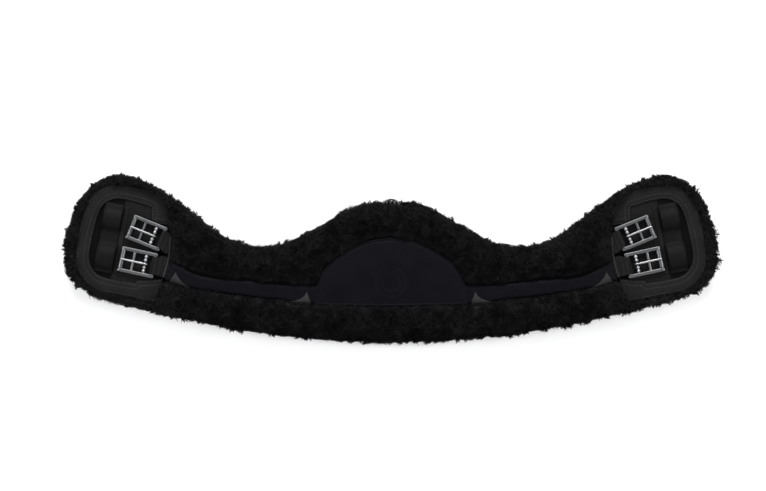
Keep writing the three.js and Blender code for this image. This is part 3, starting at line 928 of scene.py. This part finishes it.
def centre_panel():
    """The half-moon panel: a crowned leather cover with a turned edge and a pressed horseshoe."""
    node = "centre_panel"
    loop = outline(node)
    low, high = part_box(node)
    crown, reach = 0.0032, 0.045  # height of the crown, and how far in from the edge it rises
    sunk = 0.0012  # edge of the cover, under the CAD face
    mark = (0.0, (low.y + high.y) / 2 - 0.012)

    def height(points):
        edge = distance_to(points, loop)
        rise = crown * (1 - np.clip(1 - edge / reach, 0, 1) ** 2)
        turned_edge = groove(edge - 0.0018, 0.0012, 0.0006)
        seam = groove(edge - 0.0042, 0.0008, 0.0006)
        face = high.z - sunk + rise + turned_edge - seam
        return face - rounded_rim(edge, 0.0016) - horseshoe(points, mark)

    piece = slab(node, "leather", loop, low.z, height, 0.0012, "panel")


def gusset(node, strip):
    """A small knitted triangle that lies on the strip."""
    loop = outline(node)
    surface = upper_face(strip)
    thickness = 0.0007
    low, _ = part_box(node)

    def height(points):
        tops = np.array([surface(x, y) or low.z for x, y in points])
        return tops + thickness - rounded_rim(distance_to(points, loop), 0.0006)

    slab(node, "knit", loop, low.z - 0.004, height, 0.0009, "gusset")


# ---------------- Stitches


def stitches(name, line, pitch, body, thread="thread", closed=False):
    """A row of stitches along a line in space: short, rounded threads that dip at both ends."""
    length, radius = 0.65 * pitch, 0.00042
    rings = ((-0.42, 0.7, 0.0), (0.0, 1.0, 0.35), (0.42, 0.7, 0.0))  # along, girth, lift
    middles = resampled(line, pitch, closed)
    ahead = np.gradient(middles, axis=0)
    if closed:
        ahead = np.roll(middles, -1, axis=0) - np.roll(middles, 1, axis=0)
    ahead /= np.linalg.norm(ahead, axis=1)[:, None]
    across = np.cross(ahead, UP)
    across /= np.linalg.norm(across, axis=1)[:, None]
    upward = np.cross(across, ahead)
    sides = 6
    last = len(rings) * sides + 1
    pattern = [tuple(1 + i for i in reversed(face)) for face in between_rings(len(rings), sides)]
    for k in range(sides):
        n = (k + 1) % sides
        pattern += [(0, 1 + n, 1 + k), (last, last - sides + k, last - sides + n)]
    vertices, faces = [], []
    for middle, a, s, u in zip(middles, ahead, across, upward):
        first = len(vertices)
        vertices.append(middle - 0.5 * a * length - 0.5 * u * radius)
        for at, girth, lift in rings:
            for k in range(sides):
                turn = 2 * math.pi * k / sides
                out = radius * girth * (math.cos(turn) * s + math.sin(turn) * u)
                vertices.append(middle + a * length * at + u * radius * lift + out)
        vertices.append(middle + 0.5 * a * length - 0.5 * u * radius)
        faces += [tuple(first + i for i in face) for face in pattern]
    finished(add_mesh(name, vertices, faces, MATERIALS[thread]), body)


# ---------------- End plates


def beside(line, distance):
    """An open line moved sideways by a distance, to the right as it is walked."""
    ahead = np.gradient(line, axis=0)
    across = np.column_stack([ahead[:, 1], -ahead[:, 0]])
    return line + distance * across / np.linalg.norm(across, axis=1)[:, None]


def window_edge(loop, rim):
    """The stretch of a border's outline that isn't on the rim, walked with the border on its right."""
    free = distance_to(loop, rim) > 0.0015
    first = np.flatnonzero(free & ~np.roll(free, 1))[0]
    line = smoothed(np.roll(loop, -first, axis=0)[: free.sum(), :2], 8)
    middle = len(line) // 2
    test = beside(line, 0.001)[middle : middle + 1]
    return line if inside(test, loop)[0] else line[::-1]


WINDOW_ROWS = (0.0018, 0.0078)  # how far the stitches lie from the border's inner edge
RIM_ROW = 0.0032  # and from the rim of the plate
ROW_GAP = 0.004  # least distance between the row at the rim and the inner edge
ROW_MARGIN = 0.0014  # and from any row to the border's own outline


def end_border(side):
    """The wide stitched border round the end plate, with its rows of stitches."""
    node = f"end_border_{side}"
    loop = outline(node)
    low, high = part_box(node)
    fine = resampled(loop, 0.001)
    rim = outline(f"end_plate_{side}")
    window = window_edge(fine, rim)
    rows = [beside(window, inset) for inset in WINDOW_ROWS]
    rim_row = shifted(resampled(rim, 0.001), RIM_ROW)[:, :2]
    rim_row = rim_row[inside(rim_row, loop) & (distance_to(rim_row, window, closed=False) > ROW_GAP)]
    rows = [row[inside(row, loop) & (distance_to(row, fine) > ROW_MARGIN)] for row in rows]

    def height(points):
        edge = distance_to(points, loop)
        to_rows = [distance_to(points, row, closed=False) for row in rows]
        seams = sum(groove(far, 0.0009, 0.0004) for far in to_rows)
        puff = 0.0006 * np.clip(edge / 0.009, 0, 1)
        return high.z + puff - seams - rounded_rim(edge, 0.0011)

    slab(node, "leather", loop, low.z, height, 0.0013, "border")
    for number, row in enumerate([*rows, rim_row]):
        for part, run in enumerate(runs(row, gap=0.004, fewest=12)):
            lifted = np.column_stack([run, height(run) + 0.0002])
            stitches(f"{node}_stitches_{number}_{part}", lifted, 0.0042, "root")


def runs(line, gap, fewest):
    """The stretches of a line that has breaks longer than the gap, without those of few points."""
    jumps = np.flatnonzero(np.linalg.norm(np.diff(line, axis=0), axis=1) > gap) + 1
    return [run for run in np.split(line, jumps) if len(run) > fewest]


def keeper_side_view(node):
    """The keeper band's own axes, its middle, its half width and its upper line seen from the side."""
    piece = frame["nodes"][node]
    points = np.array([tuple(v.co) for v in piece.data.vertices])
    outboard = math.copysign(1, points[0, 0])
    along = np.array([-outboard * math.sin(KEEPER_TILT), math.cos(KEEPER_TILT)])
    across = np.array([along[1], -along[0]])
    v, w = points[:, :2] @ along, points[:, :2] @ across
    middle, half = (w.max() + w.min()) / 2, (w.max() - w.min()) / 2
    surface = upper_face(piece)
    line = [(s, surface(*(s * along + middle * across))) for s in np.linspace(v.min(), v.max(), 121)]
    stations, upper = np.array([point for point in line if point[1]]).T
    return along, across, middle, half, stations, upper


KEEPER_DOME = 0.0011  # how far the band curls down at its sides


def keeper_band(side):
    """The band sewn down at three places, which makes the two keeper loops."""
    node = f"keeper_band_{side}"
    along, across, middle, half, stations, upper = keeper_side_view(node)
    thickness = 0.0018
    upper = smoothed(upper, 6)
    line = np.column_stack([stations, upper])
    slope = np.gradient(line, axis=0)
    slope /= np.linalg.norm(slope, axis=1)[:, None]
    normal = np.column_stack([-slope[:, 1], slope[:, 0]])
    breadth = np.linspace(-1, 1, 25)
    around = [(b, False) for b in breadth] + [(b, True) for b in reversed(breadth)]
    vertices = []
    for (s, z), n in zip(line, normal):
        for b, under in around:
            inset = rounded_rim((1 - abs(b)) * half, 0.0008) + KEEPER_DOME * b**4
            drop = thickness - inset if under else inset
            x, y = (s - n[0] * drop) * along + (middle + b * half) * across
            vertices.append((x, y, z - n[1] * drop))
    faces = between_rings(len(line), len(around))
    for first in (0, len(vertices) - len(around)):
        last = first + len(around) - 1
        faces += [(first + j, first + j + 1, last - j - 1, last - j) for j in range(len(breadth) - 1)]
    piece = joined(node + "_leather", [(vertices, faces)], MATERIALS["keeper"])
    finished(piece, "root", replaces=[node])
    flat = stations[upper < upper.min() + 0.0007]  # where the band lies on the plate
    middle_flat = flat[np.abs(flat - (stations[0] + stations[-1]) / 2) < 0.012]
    end_margin, margin = 0.0022, 0.002
    rows = [stations[0] + end_margin, stations[-1] - end_margin]
    rows += [middle_flat.min() + margin, middle_flat.max() - margin]
    for number, s in enumerate(rows):
        ends = [(s * along + (middle + b * (half - margin)) * across) for b in (-1, 1)]
        z = np.interp(s, stations, upper) + 0.0001
        row = np.array([(*end, z) for end in ends])
        stitches(f"{node}_stitches_{number}", row, 0.003, "root", "dark thread")


def keeper_strip(side):
    """The narrow stitched strip between the loops and the buckles."""
    node = f"keeper_strip_{side}"
    loop = outline(node)
    low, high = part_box(node)

    def height(points):
        edge = distance_to(points, loop)
        seam = groove(edge - 0.0018, 0.0006, 0.0003)
        return high.z - rounded_rim(edge, 0.0008) - seam

    slab(node, "leather", loop, low.z, height, 0.0009, "strip")
    line = shifted(resampled(loop, 0.001), 0.0018)
    lifted = np.column_stack([line[:, :2], np.full(len(line), high.z - 0.0001)])
    name = node + "_stitches"
    stitches(name, lifted, 0.0032, "root", "dark thread", closed=True)


def slot_binding(side):
    """The piping along the mouth, over the straps."""
    node = f"slot_binding_{side}"
    piece = copy_of(node, node + "_piping")
    modify(piece, "SUBSURF", levels=2)
    piece.data.shade_smooth()
    finished(piece, "root", MATERIALS["binding"], [node])


# ---------------- Buckles and straps


def turned(profile, x, z, segments):
    """Vertices and faces of a piece turned about the bar's direction, from (radius, y) points."""
    vertices = []
    for radius, y in profile:
        for k in range(segments):
            turn = 2 * math.pi * k / segments
            vertices.append((x + radius * math.cos(turn), y, z + radius * math.sin(turn)))
    return vertices, between_rings(len(profile), segments)


def solid_turned(profile, x, z=0.0, segments=40):
    """A turned piece with both ends closed."""
    vertices, faces = turned(profile, x, z, segments)
    return vertices, faces + end_caps(len(profile), segments)


def rail(start, end, y, width, height):
    """A rail of the buckle: flat faces with rounded edges and rounded ends."""
    turns = np.linspace(0, 2 * math.pi, 32, endpoint=False)
    roundness = 0.45  # 1 is an ellipse, and nearer 0 is a rectangle
    end_radius = 0.0014
    across = np.sign(np.cos(turns)) * np.abs(np.cos(turns)) ** roundness * width / 2
    up = np.sign(np.sin(turns)) * np.abs(np.sin(turns)) ** roundness * height / 2
    rings = []
    for x in np.linspace(start + 0.0001, end - 0.0001, 40):
        near_end = min(x - start, end - x)
        size = 1 - 0.5 * rounded_rim(near_end, end_radius) / end_radius
        rings.append([(x, y + size * a, size * u) for a, u in zip(across, up)])
    vertices = [point for ring in rings for point in ring]
    return vertices, between_rings(len(rings), len(turns)) + end_caps(len(rings), len(turns))


def strap_frame(key):
    """The buckle's own frame at the strap bar: X towards the roller, Y along the bar, Z up."""
    joint = next(j for j in frame["joints"] if j["name"] == "tilt_" + key)
    lift = Vector(joint["axis"]).normalized()
    out = UP.cross(lift)
    along_bar = UP.cross(out)
    matrix = Matrix((out, along_bar, UP)).transposed().to_4x4()
    matrix.translation = Vector(joint["pos_m"])
    return matrix


def local_box(node, matrix):
    """A CAD node's lowest and highest corners in the buckle's frame."""
    inverse = matrix.inverted()
    points = np.array([tuple(inverse @ v.co) for v in frame["nodes"][node].data.vertices])
    return Vector(points.min(0)), Vector(points.max(0))


def placed(piece, matrix, body, node):
    """Moves a piece from the buckle's frame to the girth and makes it ride there."""
    piece.data.transform(matrix)
    piece.data.update()
    finished(piece, body, replaces=[node])


def buckle_frame(key, matrix):
    """The cast frame: two rails with round ends, joined by the roller, middle and strap bars."""
    node = "buckle_frame_" + key
    low, high = local_box(node, matrix)
    width, height = 0.0045, 0.0034
    rail_y = high.y - width / 2
    parts = [rail(low.x, high.x, y, width, height) for y in (rail_y, -rail_y)]
    roller_low, roller_high = local_box("roller_" + key, matrix)
    roller_bar = ((roller_low.x + roller_high.x) / 2, 0.0, 0.0020)  # place, height, radius
    middle_bar = (0.0285, -0.0012, 0.0019)
    strap_bar = (0.0, 0.0, 0.00175)
    for x, z, radius in (roller_bar, middle_bar, strap_bar):
        parts.append(solid_turned([(radius, -rail_y), (radius, rail_y)], x, z))
    piece = joined(node + "_steel", parts)
    remesh(piece, 0.00035, 6)
    piece.data.materials.append(MATERIALS["dull shaded steel"])
    placed(piece, matrix, "buckle_" + key, node)


def roller(key, matrix):
    """The smooth sleeve that the girth strap runs over."""
    node = "roller_" + key
    low, high = local_box(node, matrix)
    radius = (high.x - low.x) / 2
    half = high.y
    soft = 0.0007
    bore = 0.00235
    outer = []
    for turn in np.linspace(0, math.pi / 2, 5):
        outer.append((radius - soft + soft * math.sin(turn), half - soft + soft * math.cos(turn)))
    mirrored = [(r, -y) for r, y in reversed(outer)]
    profile = [(bore, half), *outer, *mirrored, (bore, -half), (bore, half)]
    sleeve = turned(profile, (low.x + high.x) / 2, 0.0, 48)
    piece = joined(node + "_steel", [sleeve], MATERIALS["dull shaded steel"])
    reshape(piece.data, merge)
    reshape(piece.data, face_out)
    placed(piece, matrix, "roller_" + key, node)


BEADS = (-0.0098, -0.005, 0.005, 0.0098)  # their places on the hinge bar, from its middle


def hinge_bar(key, matrix):
    """The turned bar with beads that the tongue swings on."""
    node = "hinge_bar_" + key
    low, high = local_box(node, matrix)
    bar, bead = 0.0015, 0.0027
    profile = [(bar * 0.9, low.y), (bar, low.y + 0.0002)]
    for at in BEADS:
        for slope in np.radians(np.linspace(-58, 58, 11)):
            profile.append((bead * math.cos(slope), at + 0.85 * bead * math.sin(slope)))
    profile += [(bar, high.y - 0.0002), (bar * 0.9, high.y)]
    part = solid_turned(profile, (low.x + high.x) / 2, segments=32)
    piece = joined(node + "_steel", [part], MATERIALS["steel"])
    placed(piece, matrix, "buckle_" + key, node)


def tongue(key, matrix):
    """The tongue: a round eye on the hinge bar and a tapering arm that rests on the roller."""
    node = "tongue_" + key
    _, high = local_box(node, matrix)
    hinge_low, hinge_high = local_box("hinge_bar_" + key, matrix)
    hinge_x = (hinge_low.x + hinge_high.x) / 2
    wire = 0.00125
    ring = 0.00185 + wire
    eye_path = [(hinge_x + x, 0, z) for x, z in arc(ring, 0, 2 * math.pi, 33)]
    eye = swept(eye_path, [wire] * len(eye_path), 16)
    arm_points = [  # place and height, from the eye to the tip
        (hinge_x + 0.0022, 0.0016),
        (hinge_x + 0.007, 0.0026),
        (hinge_x + 0.018, 0.0038),
        (high.x - 0.006, high.z - 0.0011),
        (high.x - 0.0006, high.z - 0.0016),
    ]
    at = np.linspace(0, len(arm_points) - 1, 30)
    xs = np.interp(at, range(len(arm_points)), [c[0] for c in arm_points])
    zs = smoothed(np.interp(at, range(len(arm_points)), [c[1] for c in arm_points]), 3)
    thickest, taper = 0.0015, 0.0004
    radii = thickest - taper * np.linspace(0, 1, len(xs)) ** 2
    radii[-3:] *= (0.95, 0.8, 0.45)  # the rounded tip
    arm = swept([(x, 0, z) for x, z in zip(xs, zs)], list(radii), 20)
    piece = joined(node + "_steel", [eye, arm])
    remesh(piece, 0.0003, 4)
    piece.data.materials.append(MATERIALS["steel"])
    placed(piece, matrix, "tongue_" + key, node)


STRAP_SPREAD = 0.0038  # how far a strap spreads towards the other one, behind the rails


def close_sides(shape):
    """Closes the two open sides of a strap, round the hole in its fold."""
    open_edges = [e for e in shape.edges if e.is_boundary]
    for end in (-1, 1):
        rim = [e for e in open_edges if e.verts[0].co.y * end > 0]
        bmesh.ops.triangle_fill(shape, edges=rim, use_beauty=True)
    face_out(shape)


def elastic_strap(key, matrix, other):
    """The elastic strap: folded round the strap bar, sewn behind it and led into the cover."""
    node = "elastic_strap_" + key
    low, high = local_box(node, matrix)
    layer, bore = 0.0015, 0.0021
    outer = bore + layer
    neck = -0.0095  # where the two layers meet behind the strap bar
    edge = 0.0012  # breadth of the thinner selvedge
    tail = low.x
    fold = math.pi / 2 + 0.2  # how far it goes round the bar, up and down from straight ahead
    side = [(tail, -layer)]
    side += [(x, -layer) for x in np.linspace(tail * 0.7, neck, 8)]
    side += arc(outer, -fold, fold, 25)
    side += [(x, layer) for x in np.linspace(neck, tail * 0.7, 8)] + [(tail, layer)]
    hole = arc(bore, -math.pi, math.pi, 33)[:-1]
    breadth = np.linspace(low.y, high.y, 13)
    towards = math.copysign(1, (matrix.inverted() @ other).y)
    parts = []
    for ring in (side, hole):
        vertices = []
        for y in breadth:
            pinch = 0.88 if abs(y) > high.y - edge else 1
            for x, z in ring:
                spreading = min(1, max(0, (-x - 0.0035) / 0.004)) * max(0, y * towards) / high.y
                vertices.append((x, y + towards * STRAP_SPREAD * spreading, z * pinch))
        parts.append((vertices, between_rings(len(breadth), len(ring))))
    direction = math.atan2(matrix[1][0], matrix[0][0])
    elastic = ribbed("elastic_" + key, (0.0062, 0.0062, 0.0066), direction)
    piece = joined(node + "_woven", parts, elastic)
    reshape(piece.data, close_sides)
    piece.data.shade_flat()
    placed(piece, matrix, "elastic_" + key, node)
    for number, x in enumerate((neck - 0.0005, neck - 0.0035)):
        row = [matrix @ Vector((x, y, layer + 0.0001)) for y in (low.y + 0.002, high.y - 0.002)]
        name = f"{node}_stitches_{number}"
        stitches(name, np.array(row), 0.003, "elastic_" + key, "dark thread")


def strap(side, place):
    """One elastic strap with its roller buckle."""
    key = f"{side}_{place}"
    matrix = strap_frame(key)
    other_place = PLACES[1 - PLACES.index(place)]
    elastic_strap(key, matrix, strap_frame(f"{side}_{other_place}").translation)
    buckle_frame(key, matrix)
    hinge_bar(key, matrix)
    roller(key, matrix)
    tongue(key, matrix)


# ---------------- D-ring


def d_ring():
    """The D-ring: round wire bent to a half circle with a straight bar."""
    node = "d_ring"
    low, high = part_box(node)
    wire = (high.z - low.z) / 2
    level = (high.z + low.z) / 2
    bow = high.x - wire
    centre_y = high.y - wire - bow
    bar_y = low.y + wire
    corner = 0.002
    bends = [
        (bow - corner * (1 - math.sin(a)), bar_y + corner * (1 - math.cos(a)))
        for a in np.linspace(0.3, math.pi / 2, 4)
    ]
    path = [(x, bar_y) for x in np.linspace(-bow + corner, bow - corner, 9)]
    path += bends
    path += [(x, centre_y + y) for x, y in arc(bow, 0, math.pi, 33)]
    path += [(-x, y) for x, y in reversed(bends)]
    wires = swept([(x, y, level) for x, y in path], [wire] * len(path), 20, across=UP, closed=True)
    piece = joined(node + "_steel", [wires], MATERIALS["steel"])
    finished(piece, "d_ring", replaces=[node])


# ---------------- CAD pieces that stay

CAD_FINISHES = {
    "foam_core": "foam",
    "centre_panel_padding": "foam",
    "load_web": "web",
    "end_plate_right": "plate",
    "end_plate_left": "plate",
    "d_ring_tab": "keeper",
}


def keep_cad(node, finish):
    """A CAD node whose shape is right, with its own material."""
    piece = frame["nodes"][node]
    piece.data.materials.clear()
    piece.data.materials.append(MATERIALS[finish])


# ---------------- Stage, light and camera


def stage():
    """A plain pale floor."""
    size = 6.0
    corners = [(-size, -size, 0), (size, -size, 0), (size, size, 0), (-size, size, 0)]
    material, shader, _ = new_material("floor", (0.93, 0.93, 0.93), 0.9, 0.0)
    shader.inputs["Emission Color"].default_value = (1, 1, 1, 1)
    shader.inputs["Emission Strength"].default_value = 0.2
    floor = add_mesh("floor", corners, [(0, 1, 2, 3)], material, smooth=False)


def soft_light(name, place, size, power):
    """A large soft lamp aimed at the middle of the girth."""
    data = bpy.data.lights.new(name, "AREA")
    data.shape = "RECTANGLE"
    data.size, data.size_y = size
    data.energy = power
    lamp = add_object(name, data)
    lamp.location = place
    lamp.rotation_euler = (Vector(place) * -1).to_track_quat("-Z", "Y").to_euler()
    lamp.visible_camera = False


def lights():
    """A soft key from the front side of the girth, a fill from each end and a pale surround."""
    soft_light("front", (0.0, 2.1, 1.4), (2.4, 0.9), 90)
    soft_light("rear", (0.0, -2.0, 1.6), (2.4, 0.9), 22)
    soft_light("right", (2.0, 0.0, 1.5), (0.8, 1.6), 26)
    soft_light("left", (-2.0, 0.0, 1.5), (0.8, 1.6), 26)
    world = bpy.data.worlds.new("surround")
    world.use_nodes = True
    world.node_tree.nodes["Background"].inputs["Color"].default_value = (0.95, 0.97, 1.0, 1)
    world.node_tree.nodes["Background"].inputs["Strength"].default_value = 0.27
    SCENE.world = world
    SCENE.view_settings.view_transform = "Standard"


def camera():
    """Straight down. The girth lies a little right of and below the middle of the view."""
    shown_width = 1.057
    rightward, downward = 0.0110, 0.0179
    lens, sensor = 100.0, 36.0
    middle_x, middle_y = ((CAD_BOX[0][k] + CAD_BOX[1][k]) / 2 for k in (0, 1))
    data = bpy.data.cameras.new("camera")
    data.lens = lens
    data.sensor_width = sensor
    data.clip_end = 50
    eye = add_object("camera", data)
    height = shown_width * lens / sensor
    eye.location = (middle_x - rightward, middle_y + downward, height)
    SCENE.camera = eye


# ---------------- Build

lambskin()
centre_panel()
for side in SIDES:
    cover = padded_strip(side)
    for end in ("outer", "inner"):
        gusset(f"gusset_{end}_{side}", cover)
    end_border(side)
    keeper_band(side)
    keeper_strip(side)
    slot_binding(side)
    for place in PLACES:
        strap(side, place)
d_ring()
for node, finish in CAD_FINISHES.items():
    keep_cad(node, finish)
stage()
lights()
camera()
